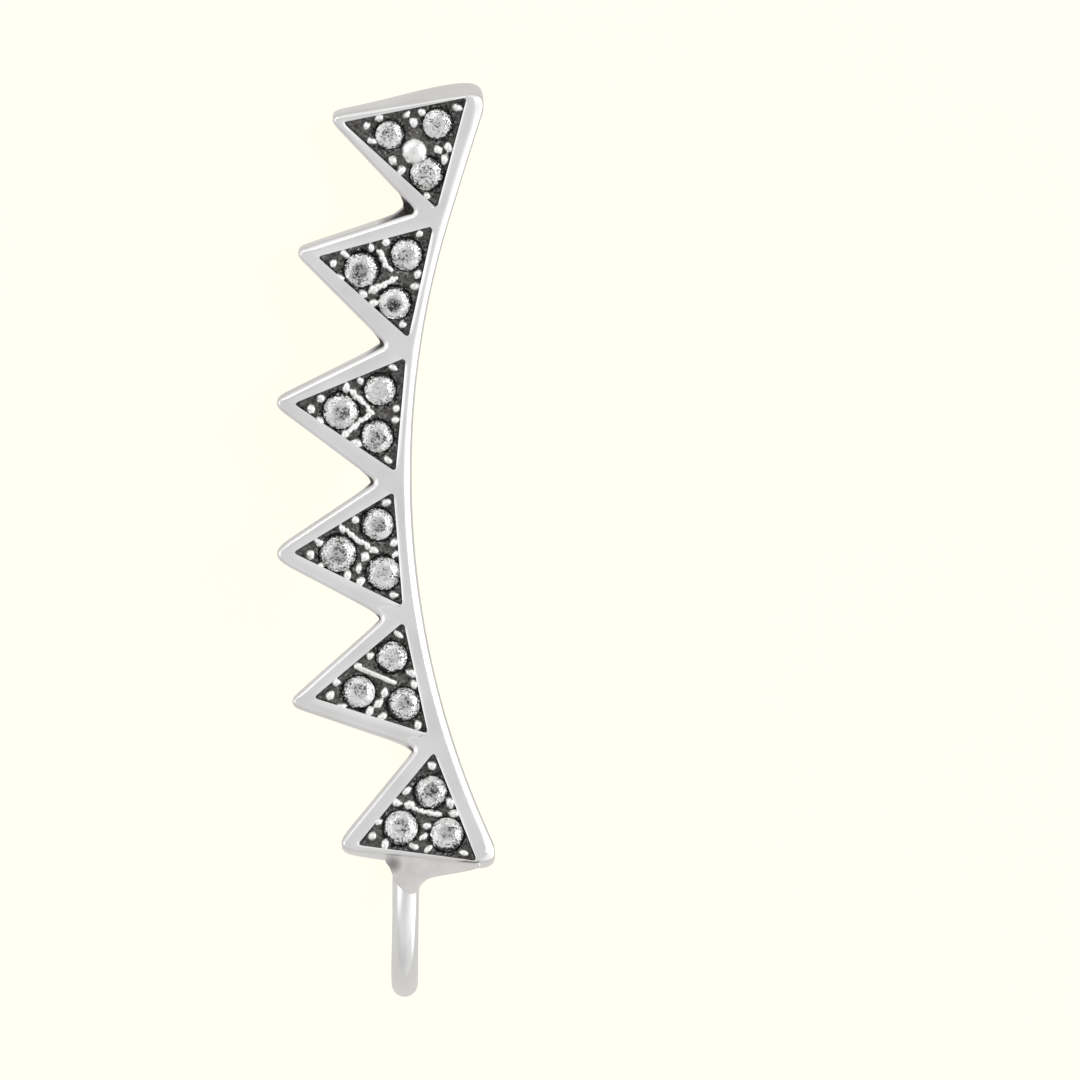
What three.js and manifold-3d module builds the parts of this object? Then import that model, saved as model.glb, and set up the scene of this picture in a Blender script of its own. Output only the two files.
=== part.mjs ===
// An ear climber in silver: six triangular cells along a curved spine, each paved with three stones,
// and a wire hook that goes through the ear lobe and lies behind the cells.
//
// Lengths are millimetres and angles degrees. The climber is built facing +Z with its top towards +Y.
// Its spine is an arc about the Z axis, on the axis's -X side, and the cells point away from it.
// At the end it is laid on its back, as it lies on a table.

import * as THREE from 'three';
import { mergeVertices } from 'three/addons/utils/BufferGeometryUtils.js';
import Module from 'manifold-3d';

const wasm = await Module();
wasm.setup();

const { degToRad, lerp } = THREE.MathUtils;

// axis: where the cell points, measured up from -X. reach: how far the corner that its tip rounds off
// lies from the arc's centre. lean: how far that corner stands above the axis. pocket: its pocket's reach.
const cells = [
  { axis: 18.98, reach: 34.29, lean: -0.21, pocket: 33.75 },
  { axis: 11.28, reach: 34.2, lean: 0.16, pocket: 33.43 },
  { axis: 3.49, reach: 34.26, lean: 0.14, pocket: 33.56 },
  { axis: -4.29, reach: 34.3, lean: 0.16, pocket: 33.6 },
  { axis: -11.81, reach: 34.41, lean: 0.04, pocket: 33.58 },
  { axis: -19.54, reach: 34.15, lean: 0, pocket: 33.43 },
];

// overhang: past the end cells' axes. notches: their radius.
const spine = { radius: 30, overhang: 4.3, notches: 31.1, steps: 4 };
const rounding = { tip: 0.4, corner: 0.45, pocket: 0.15, gusset: 0.2 };   // where a corner's curve starts
const thickness = { atSpine: 1.6, slope: 0.1, blank: 2 };   // slope: how fast it thins towards the tips

// The face is bowed: both ends come forward of the level line.
const bow = { radius: 80, levelAt: -3, halfLength: 12.6 };

const pocket = { base: 30.38, halfWidth: 1.7, depth: 0.45 };
const aboveFace = 1;   // how far the shapes that cut or trim the pockets stand out of them
const paving = { gap: 0.04, floor: 0.14 };   // gap: clear of the pocket's walls and floor

// along: distance from the arc's centre. across: up from the cell's axis. top: below the rim.
const stones = [
  { along: 32.2, across: 0, radius: 0.54, top: 0.02 },
  { along: 31, across: 0.73, radius: 0.5, top: 0.02 },
  { along: 30.95, across: -0.75, radius: 0.52, top: 0.02 },
];
const beads = [
  { along: 33.03, across: 0 },
  { along: 32.75, across: 0.36 },
  { along: 32.75, across: -0.36 },
  { along: 31.6, across: 0.9 },
  { along: 31.6, across: -0.9 },
  { along: 30.66, across: 1.36 },
  { along: 30.66, across: -1.36 },
  { along: 30.56, across: 0 },
  { along: 31.4, across: 0 },
];
const stoneCut = { crown: 0.16, table: 0.6 };   // table: its share of the stone's radius
const bead = { radius: 0.14, top: 0.05, taper: 0.7 };
const facets = { stone: 14, bead: 8, wire: 14 };

const wire = { radius: 0.405, x: -30.15, top: -11.1, behindFace: 0.92, steps: 64 };
const bend = { height: -12.6, radius: 3.25, closing: 17, steps: 14 };   // closing: past half a turn
// The pin ends behind the fifth cell. passes: a place on its way, level with the last notch.
const pin = { passes: new THREE.Vector2(-29.33, -8.4), end: new THREE.Vector2(-31.2, -5.9) };
const gusset = { top: -11.2, bottom: -12.85, halfTop: 1.05, halfBottom: 0.3, proud: 0.04, depth: 0.65 };

// How far corners may lie apart and still be one, and how far from a fold a corner may lie.
const tolerance = { corners: 1e-5, fold: 1e-4 };

// It lies on the pin's end and on the top cell's tip and corner. back, side: how far it is turned about
// X and about Y.
const lying = { back: 17.75, side: -7.18 };

const silver = new THREE.MeshStandardMaterial({ color: 0xdcdce0, metalness: 1, roughness: 0.18 });
const pavedSilver = new THREE.MeshStandardMaterial({ color: 0x8f8d8c, metalness: 0.8, roughness: 0.35 });

// ---- solids ----

function toSolid(geometry) {
  geometry.deleteAttribute('normal');
  geometry.deleteAttribute('uv');
  const merged = mergeVertices(geometry, tolerance.corners);
  return new wasm.Manifold(new wasm.Mesh({
    numProp: 3,
    vertProperties: new Float32Array(merged.attributes.position.array),
    triVerts: new Uint32Array(merged.index.array),
  }));
}

function toMesh(name, solid, material) {
  const { vertProperties, triVerts } = solid.getMesh();
  const geometry = new THREE.BufferGeometry();
  geometry.setAttribute('position', new THREE.BufferAttribute(new Float32Array(vertProperties), 3));
  geometry.setIndex(new THREE.BufferAttribute(new Uint32Array(triVerts), 1));
  const flat = geometry.toNonIndexed();
  flat.computeVertexNormals();
  const mesh = new THREE.Mesh(flat, material);
  mesh.name = name;
  return mesh;
}

// ---- outlines ----

// A point of the face, from its distance along a cell's axis and across it.
function inCell(cell, along, across) {
  const turn = degToRad(cell.axis);
  return new THREE.Vector2(
    -along * Math.cos(turn) + across * Math.sin(turn),
    along * Math.sin(turn) + across * Math.cos(turn),
  );
}

function onArc(radius, angle) {
  return inCell({ axis: angle }, radius, 0);
}

// The notches between the cells. The face folds on a level line from each to the spine, and folds also
// holds a level beyond each end.
const notches = cells.slice(1).map((cell, i) => onArc(spine.notches, (cell.axis + cells[i].axis) / 2));
const folds = [bow.halfLength, ...notches.map(({ y }) => y), -bow.halfLength];

// A closed outline whose corners are rounded off; each corner is { at, round }.
function outline(corners) {
  const shape = new THREE.Shape();
  corners.forEach(({ at, round }, i) => {
    const before = corners.at(i - 1).at;
    const after = corners[(i + 1) % corners.length].at;
    const start = at.clone().add(before.clone().sub(at).setLength(round));
    const finish = at.clone().add(after.clone().sub(at).setLength(round));
    if (i === 0) shape.moveTo(start.x, start.y);
    else shape.lineTo(start.x, start.y);
    if (round > 0) shape.quadraticCurveTo(at.x, at.y, finish.x, finish.y);
  });
  shape.closePath();
  return shape;
}

// The same corners moved inwards by a distance, for corners listed anticlockwise.
function inset(corners, distance) {
  return corners.map(({ at, round }, i) => {
    const before = corners.at(i - 1).at;
    const after = corners[(i + 1) % corners.length].at;
    const arriving = at.clone().sub(before).normalize();
    const leaving = after.clone().sub(at).normalize();
    const inwards = new THREE.Vector2(-arriving.y - leaving.y, arriving.x + leaving.x).normalize();
    const reach = distance / (-inwards.x * arriving.y + inwards.y * arriving.x);
    return { at: at.clone().addScaledVector(inwards, reach), round };
  });
}

// A prism of an outline, from z = bottom to z = top.
function prism(corners, bottom, top) {
  const geometry = new THREE.ExtrudeGeometry(outline(corners), {
    depth: top - bottom, bevelEnabled: false, curveSegments: 4,
  });
  return toSolid(geometry.translate(0, 0, bottom));
}

function onSpine(height) {
  return new THREE.Vector2(-Math.sqrt(spine.radius ** 2 - height ** 2), height);
}

// One cell of the plate from fold to fold: up its stretch of the spine, out to the tip and back.
function cellCorners(cell, i) {
  const isFirst = i === 0;
  const isLast = i === cells.length - 1;
  const low = isLast ? onArc(spine.radius, cell.axis - spine.overhang) : onSpine(folds[i + 1]);
  const high = isFirst ? onArc(spine.radius, cell.axis + spine.overhang) : onSpine(folds[i]);
  const stretch = Array.from({ length: spine.steps + 1 }, (_, step) => (
    { at: onSpine(lerp(low.y, high.y, step / spine.steps)), round: 0 }
  ));
  if (isLast) stretch[0].round = rounding.corner;
  if (isFirst) stretch.at(-1).round = rounding.corner;
  const above = isFirst ? [] : [{ at: notches[i - 1], round: 0 }];
  const below = isLast ? [] : [{ at: notches[i], round: 0 }];
  return [...stretch, ...above, { at: inCell(cell, cell.reach, cell.lean), round: rounding.tip }, ...below];
}

function pocketCorners(cell) {
  return [
    { at: inCell(cell, pocket.base, -pocket.halfWidth), round: rounding.pocket },
    { at: inCell(cell, pocket.base, pocket.halfWidth), round: rounding.pocket },
    { at: inCell(cell, cell.pocket, cell.lean), round: rounding.pocket },
  ];
}

// ---- the bow ----

function bowDepth(height) {
  return (height - bow.levelAt) ** 2 / (2 * bow.radius);
}

// The place at a depth z behind the bowed face (z is negative there), square to the face at that height.
function behindFace(height, z) {
  const tilt = Math.atan((height - bow.levelAt) / bow.radius);
  return { y: height - z * Math.sin(tilt), z: bowDepth(height) + z * Math.cos(tilt) };
}

// The back slopes from the spine to the tips. The spine counts as straight from fold to fold.
function backDepth(x, share, above, below) {
  const outwards = lerp(onSpine(above).x, onSpine(below).x, share) - x;
  return thickness.atSpine - thickness.slope * outwards;
}

// Where a point of a flat solid goes when the solid is bowed and thinned to its sloping back.
function onBow({ x, y, z }) {
  const next = folds.findIndex((height, i) => i > 0 && height <= y);
  const [above, below] = [folds[next - 1], folds[next]];
  const share = (above - y) / (above - below);
  const thinned = (backDepth(x, share, above, below) - pocket.depth) / (thickness.blank - pocket.depth);
  const depth = z < -pocket.depth ? -pocket.depth + (z + pocket.depth) * thinned : z;
  const [high, low] = [behindFace(above, depth), behindFace(below, depth)];
  return [x, lerp(high.y, low.y, share), lerp(high.z, low.z, share)];
}

// Carries flat solids onto the bow as one. Where two of them meet in a fold, the faces between
// them are left out.
function bowed(...solids) {
  const triangles = solids.flatMap((solid) => {
    const { vertProperties, triVerts } = solid.getMesh();
    const corners = Array.from(triVerts, (v) => new THREE.Vector3().fromArray(vertProperties, 3 * v));
    return Array.from({ length: corners.length / 3 }, (_, i) => corners.slice(3 * i, 3 * i + 3));
  });
  const isInFold = (triangle) => folds.some((height) => (
    triangle.every(({ y }) => Math.abs(y - height) < tolerance.fold)
  ));
  const places = triangles.filter((triangle) => !isInFold(triangle)).flat().flatMap(onBow);
  const geometry = new THREE.BufferGeometry();
  geometry.setAttribute('position', new THREE.Float32BufferAttribute(places, 3));
  return toSolid(geometry);
}

// ---- the frame ----

function flatCell(cell, i) {
  const body = prism(cellCorners(cell, i), -thickness.blank, 0);
  return body.subtract(prism(pocketCorners(cell), -pocket.depth, aboveFace));
}

function hookRoute() {
  const front = bowDepth(wire.top) - wire.behindFace;
  const points = [new THREE.Vector3(wire.x, wire.top, front)];
  const turn = Math.PI + degToRad(bend.closing);
  for (let step = 0; step <= bend.steps; step += 1) {
    const angle = turn * step / bend.steps;
    points.push(new THREE.Vector3(
      wire.x,
      bend.height - bend.radius * Math.sin(angle),
      front - bend.radius * (1 - Math.cos(angle)),
    ));
  }
  const start = points.at(-1);
  for (const { x, y } of [pin.passes, pin.end]) {
    points.push(new THREE.Vector3(x, y, start.z + (y - start.y) * Math.tan(degToRad(bend.closing))));
  }
  return points;
}

function hook() {
  const points = hookRoute();
  const section = new THREE.Shape();
  section.absarc(0, 0, wire.radius, 0, 2 * Math.PI);
  const tube = new THREE.ExtrudeGeometry(section, {
    steps: wire.steps,
    curveSegments: facets.wire / 2,
    extrudePath: new THREE.CatmullRomCurve3(points, false, 'centripetal'),
  });
  return toSolid(tube);
}

// The web under the bottom wall that the wire is soldered to.
function hookGusset() {
  const corners = [
    { at: new THREE.Vector2(wire.x - gusset.halfTop, gusset.top), round: 0 },
    { at: new THREE.Vector2(wire.x - gusset.halfBottom, gusset.bottom), round: rounding.gusset },
    { at: new THREE.Vector2(wire.x + gusset.halfBottom, gusset.bottom), round: rounding.gusset },
    { at: new THREE.Vector2(wire.x + gusset.halfTop, gusset.top), round: 0 },
  ];
  const front = bowDepth(wire.top) - wire.behindFace + wire.radius + gusset.proud;
  return prism(corners, front - gusset.depth, front);
}

function frame() {
  return bowed(...cells.map(flatCell)).add(hookGusset()).add(hook());
}

// ---- the paving ----

// A round stone: a cylinder whose top edge is cut away to a table.
function stoneSolid(cell, { along, across, radius, top }) {
  const at = inCell(cell, along, across);
  const foot = -pocket.depth + paving.gap;
  const girdle = -top - stoneCut.crown;
  const profile = [
    new THREE.Vector2(0, foot),
    new THREE.Vector2(radius, foot),
    new THREE.Vector2(radius, girdle),
    new THREE.Vector2(radius * stoneCut.table, -top),
    new THREE.Vector2(0, -top),
  ];
  const geometry = new THREE.LatheGeometry(profile, facets.stone).rotateX(Math.PI / 2);
  return toSolid(geometry.translate(at.x, at.y, 0));
}

function beadSolid(cell, { along, across }) {
  const at = inCell(cell, along, across);
  const foot = -pocket.depth + paving.gap;
  const height = -bead.top - foot;
  const geometry = new THREE.CylinderGeometry(bead.radius * bead.taper, bead.radius, height, facets.bead);
  return toSolid(geometry.rotateX(Math.PI / 2).translate(at.x, at.y, (foot - bead.top) / 2));
}

function pavedCell(cell) {
  const foot = -pocket.depth + paving.gap;
  const floor = prism(inset(pocketCorners(cell), paving.gap), foot, foot + paving.floor);
  const room = prism(inset(pocketCorners(cell), paving.gap), foot, aboveFace);
  const relief = [
    ...stones.map((stone) => stoneSolid(cell, stone)),
    ...beads.map((place) => beadSolid(cell, place)),
  ].reduce((all, solid) => all.add(solid));
  return bowed(floor.add(relief.intersect(room)));
}

// ---- the climber ----

const climber = new THREE.Group();
climber.add(toMesh('climber_frame', frame(), silver));
cells.forEach((cell, i) => climber.add(toMesh(`pave_${i + 1}`, pavedCell(cell), pavedSilver)));
climber.rotation.set(degToRad(-lying.back), degToRad(lying.side), 0);

// The origin is the middle of the climber's box, at the height of the table.
const earClimber = new THREE.Group();
earClimber.add(climber);
const box = new THREE.Box3().setFromObject(earClimber, true);
const middle = box.getCenter(new THREE.Vector3());
climber.position.set(-middle.x, -middle.y, -box.min.z);

export default earClimber;
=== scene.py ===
# A silver ear climber lying on a table: six paved cells along a curved spine, and an ear wire
# behind. It is modelled in millimetres, flat and facing +Z with its top towards +Y. Then the flat
# shapes are bowed as the real face is, and laid on their back where the climber lies.

import math
import random

import bpy
from mathutils import Matrix, Vector, noise
from mathutils.geometry import intersect_point_tri_2d


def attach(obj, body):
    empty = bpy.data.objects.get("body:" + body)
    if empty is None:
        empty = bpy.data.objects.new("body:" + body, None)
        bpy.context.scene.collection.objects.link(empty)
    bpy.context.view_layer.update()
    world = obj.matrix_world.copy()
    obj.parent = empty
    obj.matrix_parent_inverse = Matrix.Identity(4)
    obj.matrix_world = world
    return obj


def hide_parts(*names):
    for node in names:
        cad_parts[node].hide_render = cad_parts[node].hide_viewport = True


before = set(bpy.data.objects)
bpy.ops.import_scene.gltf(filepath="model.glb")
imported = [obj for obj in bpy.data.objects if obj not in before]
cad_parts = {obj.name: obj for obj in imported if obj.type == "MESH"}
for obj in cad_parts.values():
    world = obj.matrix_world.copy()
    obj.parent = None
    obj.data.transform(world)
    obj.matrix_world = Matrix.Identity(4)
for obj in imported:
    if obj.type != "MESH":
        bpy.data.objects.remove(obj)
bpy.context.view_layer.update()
random.seed(7)

climber = {
    "arcCentre": (30.5, 3.674, 7.145),     # the centre of the spine's arc, from the row's origin
    "back": 17.75, "side": -7.18,          # how it lies, in degrees
    "bowRadius": 80, "bowLevel": -3,       # both ends of the face come forward of the level line
}

# axis: where the cell points, in degrees up from -X. reach, pocket: how far the tips of the cell
# and of its pocket are from the arc's centre. lean: how far both stand above the axis. high, low:
# where the pocket's other two corners lie. tipRound: how far from the tip its curve starts. The
# last cell's pocket leans on its own, and reaches further down.
cells = [
    {"axis": 18.98, "reach": 34.33, "lean": -0.21, "pocket": 33.80, "high": 30.43, "low": 30.20,
     "tipRound": 0.50},
    {"axis": 11.28, "reach": 34.25, "lean": 0.14, "pocket": 33.48, "high": 30.17, "low": 30.25,
     "tipRound": 0.42},
    {"axis": 3.49, "reach": 34.36, "lean": 0.14, "pocket": 33.61, "high": 30.25, "low": 30.35,
     "tipRound": 0.55},
    {"axis": -4.29, "reach": 34.48, "lean": 0.13, "pocket": 33.65, "high": 30.42, "low": 30.40,
     "tipRound": 0.80},
    {"axis": -11.81, "reach": 34.51, "lean": 0.04, "pocket": 33.63, "high": 30.44, "low": 30.41,
     "tipRound": 0.50},
    {"axis": -19.54, "reach": 34.34, "lean": -0.01, "pocket": 33.56, "high": 30.38, "low": 30.25,
     "tipRound": 0.75, "pocketLean": -0.14, "lowHalf": 1.83},
]

# deep: how far the notch's corner is from the arc's centre. above, below: how far its curve runs
# up the wall above it and down the wall below it. web: how far the metal behind it stands out.
notches = [
    {"deep": 30.84, "above": 0.30, "below": 0.14, "web": 0.33},
    {"deep": 30.95, "above": 0.25, "below": 0.14, "web": 0.12},
    {"deep": 31.00, "above": 0.28, "below": 0.16, "web": 0.10},
    {"deep": 31.08, "above": 0.55, "below": 0.16, "web": 0.05},
    {"deep": 30.92, "above": 0.65, "below": 0.18, "web": 0.05},
]

plate = {
    "spine": 29.95, "spineBend": 4.0, "flare": 0.16, "flareFrom": 15, "flareOver": 6,
    "topOverhang": 4.2, "bottomOverhang": 4.25,   # how far the spine goes past an end cell's axis
    "spineSteps": 10, "wallSteps": 12, "roundSteps": 6, "notchSteps": 3, "endSteps": 10,
    "endRound": 0.85, "pocketRound": 0.16, "pocketHalf": 1.76, "pocketDepth": 0.72,
    "thickness": 1.55, "slope": 0.1, "levelAbove": 0.45,   # the back slopes, below levelAbove
    # chamferMost: how much of a wall's width the chamfer may take up. At the spine's two ends it
    # is endChamfer wider, and may also take up endShare of what the wall is wider than endRoom
    "chamfer": 0.14, "spineChamfer": 0.20, "chamferDrop": 0.10, "chamferMost": 0.5,
    "endChamfer": 0.14, "endReach": 1.1, "endShare": 0.4, "endRoom": 0.3, "spineReach": 0.35,
    "tipChamfer": 0.5, "tipReach": 0.55,   # how much narrower the chamfer is round the tips
    # the front slopes down a little, just outside the pockets
    "lip": 0.16, "spineLip": 0.09, "lipDrop": 0.04, "lipLeast": 0.015, "lipGap": 0.01,
    "lipMost": 1.5,                        # how much wider it may be across a corner
    "backRound": 0.25, "sideRound": 0.06, "frontRound": 0.045, "roundSegments": 3,
    "rings": (-0.9, -0.4, -0.15),          # where the walls have a ring of vertices
    "shapedBelow": -0.3, "webReach": 0.8, "webFade": 1.5, "spineSpread": 0.03,
    # how far the end walls bulge, and how unevenly; how near to a wall, and how far down, all of it
    "topArch": (0.16, 2), "bottomArch": (0.12, 1.2), "archNear": 0.25, "archFull": 0.9,
    # places, and levels, are the same when they are this close
    "seam": 0.005, "closeTo": 0.01,
}

# how dark the silver is: tarnished in the pockets, and painted shade behind the notches, where the
# darkness fades away from the corner, towards the rim and towards the back
tarnishAndShade = {
    "pocket": 0.9, "wider": 1.05, "margin": 0.05,
    "reach": 0.15, "reachByWeb": 1.6, "steep": 3, "rim": 0.09, "rimFade": 0.05,
    "backLeast": 0.3, "backFrom": 1.6,
}


def makeActive(piece):
    bpy.ops.object.select_all(action="DESELECT")
    piece.select_set(True)
    bpy.context.view_layer.objects.active = piece


def addObject(name, data):
    item = bpy.data.objects.new(name, data)
    bpy.context.scene.collection.objects.link(item)
    return item


def newest(name):
    piece = bpy.context.view_layer.objects.active
    piece.name = name
    piece.data.name = name
    return piece


def joinPieces(pieces, name):
    makeActive(pieces[0])
    for piece in pieces:
        piece.select_set(True)
    bpy.ops.object.join()
    return newest(name)


def editAll():
    # edit mode, with the whole mesh selected
    bpy.ops.object.mode_set(mode="EDIT")
    bpy.ops.mesh.select_all(action="SELECT")


def leaveEdit():
    bpy.ops.object.mode_set(mode="OBJECT")


def selectFaces(piece, test):
    # in edit mode: only the faces that pass the test stay selected
    bpy.ops.mesh.select_mode(type="FACE")
    bpy.ops.mesh.select_all(action="DESELECT")
    leaveEdit()
    for face in piece.data.polygons:
        face.select = test(face)
    bpy.ops.object.mode_set(mode="EDIT")


def extrudeBy(rise):
    bpy.ops.mesh.extrude_region_move(TRANSFORM_OT_translate={"value": (0, 0, rise)})


def flatSheet(name, outline, level=0):
    bpy.ops.mesh.primitive_circle_add(vertices=len(outline), radius=1, fill_type="NGON")
    sheet = newest(name)
    for vertex, place in zip(sheet.data.vertices, outline):
        vertex.co = (place.x, place.y, level)
    return sheet


def thicken(rise):
    # a flat sheet is drawn up into a solid
    editAll()
    extrudeBy(rise)
    bpy.ops.mesh.select_all(action="SELECT")
    bpy.ops.mesh.normals_make_consistent(inside=False)
    leaveEdit()


def markVertices(piece, name, valueOf, kind="FLOAT"):
    # a new attribute, with its value at each vertex
    marks = piece.data.attributes.new(name, kind, "POINT").data
    field = "value" if kind == "FLOAT" else "vector"
    for vertex in piece.data.vertices:
        setattr(marks[vertex.index], field, valueOf(vertex.co))


def clamped(value):
    return min(1, max(0, value))


def addModifier(piece, kind, **settings):
    makeActive(piece)
    modifier = piece.modifiers.new(kind.lower(), kind)
    for name, value in settings.items():
        setattr(modifier, name, value)
    bpy.ops.object.modifier_apply(modifier=modifier.name)


def smooth(piece, angle):
    makeActive(piece)
    bpy.ops.object.shade_smooth_by_angle(angle=math.radians(angle))


def turned(degrees, along, across):
    turn = math.radians(degrees)
    return Vector((-along * math.cos(turn) + across * math.sin(turn),
                   along * math.sin(turn) + across * math.cos(turn)))


def inCell(cell, along, across):
    return turned(cell["axis"], along, across)


def spineRadius(degrees):
    # the spine is bent a little tighter than an arc about the centre, and flares at the very top
    flare = plate["flare"] * max(0, (degrees - plate["flareFrom"]) / plate["flareOver"]) ** 2
    return plate["spine"] - plate["spineBend"] * (1 - math.cos(math.radians(degrees))) + flare


def onSpine(degrees):
    return turned(degrees, spineRadius(degrees), 0)


def angleOf(place):
    # how far round the arc a place is, up from -X
    return math.atan2(place.y, -place.x)


def plateEnds():
    # the two corners where the spine ends, top and bottom
    return (onSpine(cells[0]["axis"] + plate["topOverhang"]),
            onSpine(cells[-1]["axis"] - plate["bottomOverhang"]))


def pocketCorners(cell):
    return [inCell(cell, cell["low"], -cell.get("lowHalf", plate["pocketHalf"])),
            inCell(cell, cell["high"], plate["pocketHalf"]),
            inCell(cell, cell["pocket"], cell.get("pocketLean", cell["lean"]))]


def backThinned(x, y, z):
    # the back slopes down from the spine to the tips; the front stays as it is
    level = -plate["levelAbove"]
    if z > level:
        return z
    outwards = math.hypot(x, y) - plate["spine"]
    full = plate["thickness"] + level
    thinned = (plate["thickness"] - plate["slope"] * outwards + level) / full
    return level + (z - level) * thinned


def bowed(x, y, z):
    rise = y - climber["bowLevel"]
    tilt = math.atan(rise / climber["bowRadius"])
    depth = rise ** 2 / (2 * climber["bowRadius"])
    return Vector((x, y - z * math.sin(tilt), depth + z * math.cos(tilt)))


def bowPiece(piece, thinBack=False):
    for vertex in piece.data.vertices:
        x, y, z = vertex.co
        if thinBack:
            z = backThinned(x, y, z)
        vertex.co = bowed(x, y, z)


layOnBack = (
    Matrix.Scale(0.001, 4)
    @ Matrix.Translation(climber["arcCentre"])
    @ Matrix.Rotation(math.radians(-climber["back"]), 4, "X")
    @ Matrix.Rotation(math.radians(climber["side"]), 4, "Y")
)


def layPiece(piece):
    piece.data.transform(layOnBack)
    piece.data.update()
    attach(piece, "root")


def between(start, finish, steps):
    # the places after start, up to and with finish
    return [start.lerp(finish, step / steps) for step in range(1, steps + 1)]


def onCurve(start, corner, finish, share):
    # a place on the curve that leaves start and reaches finish in line with the corner
    return start * (1 - share) ** 2 + corner * 2 * share * (1 - share) + finish * share ** 2


def rounded(before, corner, after, length, steps, lengthAfter=None):
    # a corner's curve, with both its ends
    start = corner + (before - corner).normalized() * length
    finish = corner + (after - corner).normalized() * (lengthAfter or length)
    return [onCurve(start, corner, finish, step / steps) for step in range(steps + 1)]


def awayFrom(place, start, end):
    # how far a place is from the line between two others
    run = end - start
    share = clamped((place - start).dot(run) / run.length_squared)
    return (place - start - run * share).length


def chamferAt(place, apart):
    # how wide the chamfer is at a place of the outline; apart: how far that is from the pocket
    outwards = place.length - spineRadius(math.degrees(angleOf(place)))
    bySpine = 1 - clamped(outwards / plate["spineReach"])
    byEnd = 1 - clamped(min((place - end).length for end in plateEnds()) / plate["endReach"])
    wide = (plate["chamfer"] + (plate["spineChamfer"] - plate["chamfer"]) * bySpine
            + plate["endChamfer"] * byEnd)
    return min(wide, plate["chamferMost"] * apart
               + plate["endShare"] * byEnd * max(0, apart - plate["endRoom"]))


def tipOf(i):
    return inCell(cells[i], cells[i]["reach"], cells[i]["lean"])


def notchCurve(i):
    # the notch below cell i: its middle in degrees, and its curve from the upper wall to the lower
    middle = (cells[i]["axis"] + cells[i + 1]["axis"]) / 2
    notch = notches[i]
    return middle, rounded(tipOf(i), turned(middle, notch["deep"], 0), tipOf(i + 1),
                           notch["above"], 2 * plate["notchSteps"], notch["below"])


def cellOutline(i):
    # up the spine, over the upper end, out to the tip and back; each place of the outline comes
    # with the places of the pocket's edge and of its lip that it faces
    cell, final = cells[i], len(cells) - 1
    half, steps, cornerSteps = plate["notchSteps"], plate["wallSteps"], plate["roundSteps"]
    tip = tipOf(i)
    low = cell["axis"] - plate["bottomOverhang"] if i == final else notchCurve(i)[0]
    high = cell["axis"] + plate["topOverhang"] if i == 0 else notchCurve(i - 1)[0]
    outer = [onSpine(low + (high - low) * step / plate["spineSteps"])
             for step in range(plate["spineSteps"] + 1)]
    if i == 0:
        outer = outer[:-1]
        upper = rounded(outer[-1], onSpine(high), tip, plate["endRound"], plate["endSteps"])
        while (outer[-1] - onSpine(high)).length < plate["endRound"]:
            outer = outer[:-1]
    else:
        curve = notchCurve(i - 1)[1]
        upper = between(outer[-1], curve[half], cornerSteps - half) + curve[half + 1:]
    if i == final:
        outer = outer[1:]
        lower = rounded(tip, onSpine(low), outer[0], plate["endRound"], plate["endSteps"])
        while (outer[0] - onSpine(low)).length < plate["endRound"]:
            outer = outer[1:]
    else:
        curve = notchCurve(i)[1]
        lower = curve[:half + 1] + between(curve[half], outer[0], cornerSteps - half)[:-1]
    spineCount = len(outer)
    nose = rounded(upper[-1], tip, lower[0], cell["tipRound"], cornerSteps)
    up = between(upper[-1], nose[0], steps)[:-1]
    down = between(nose[-1], lower[0], steps)[:-1]
    outer = outer + upper + up + nose + down + lower
    # the pocket's edge, in as many places
    below, above, point = pocketCorners(cell)
    upperIn = rounded(below, above, point, plate["pocketRound"], len(upper) - 1)
    lowerIn = rounded(point, below, above, plate["pocketRound"], len(lower) - 1)
    noseIn = rounded(above, point, below, plate["pocketRound"], cornerSteps)
    first, last = angleOf(lowerIn[-1]), angleOf(upperIn[0])
    leastShare = 0.02   # of the pocket's base, from each place to the next
    base = []
    for n, place in enumerate(outer[:spineCount]):
        share = (angleOf(place) - first) / (last - first)
        share = min(1 - (spineCount - n) * leastShare, max((n + 1) * leastShare, share))
        base.append(lowerIn[-1].lerp(upperIn[0], share))
    inner = (base + upperIn + between(upperIn[-1], noseIn[0], steps)[:-1] + noseIn
             + between(noseIn[-1], lowerIn[0], steps)[:-1] + lowerIn)
    lip = []
    for n, (outside, inside) in enumerate(zip(outer, inner)):
        run = outside - inside
        apart = min(awayFrom(inside, outer[m - 1], outer[m]) for m in range(len(outer)))
        room = apart - chamferAt(outside, apart) - plate["frontRound"] - plate["lipGap"]
        width = min(plate["spineLip" if n < spineCount else "lip"], max(plate["lipLeast"], room))
        width = min(run.length * width / apart, plate["lipMost"] * width)
        lip.append(inside + run.normalized() * width)
    return outer, inner, lip


def cellSheet(i):
    # the front of one cell: two rings of faces around its pocket
    outer, inner, lip = cellOutline(i)
    sheet = flatSheet("cellSheet", outer)
    editAll()
    for _ in (lip, inner):
        bpy.ops.mesh.inset(thickness=0.01)   # thin for now: the rings go to their places below
    leaveEdit()
    # from ring to ring: which place of the outline each vertex faces
    facing = {n: n for n in range(len(outer))}
    last = facing
    for places in (lip, inner):
        ring = {}
        for edge in sheet.data.edges:
            for outside, inside in (edge.vertices, reversed(edge.vertices)):
                if outside in last and inside not in facing:
                    ring[inside] = last[outside]
        for vertex, n in ring.items():
            sheet.data.vertices[vertex].co = (places[n].x, places[n].y, 0)
        facing, last = {**facing, **ring}, ring
    return sheet


def isPocket(face):
    return len(face.vertices) > 8   # all other faces have fewer


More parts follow.
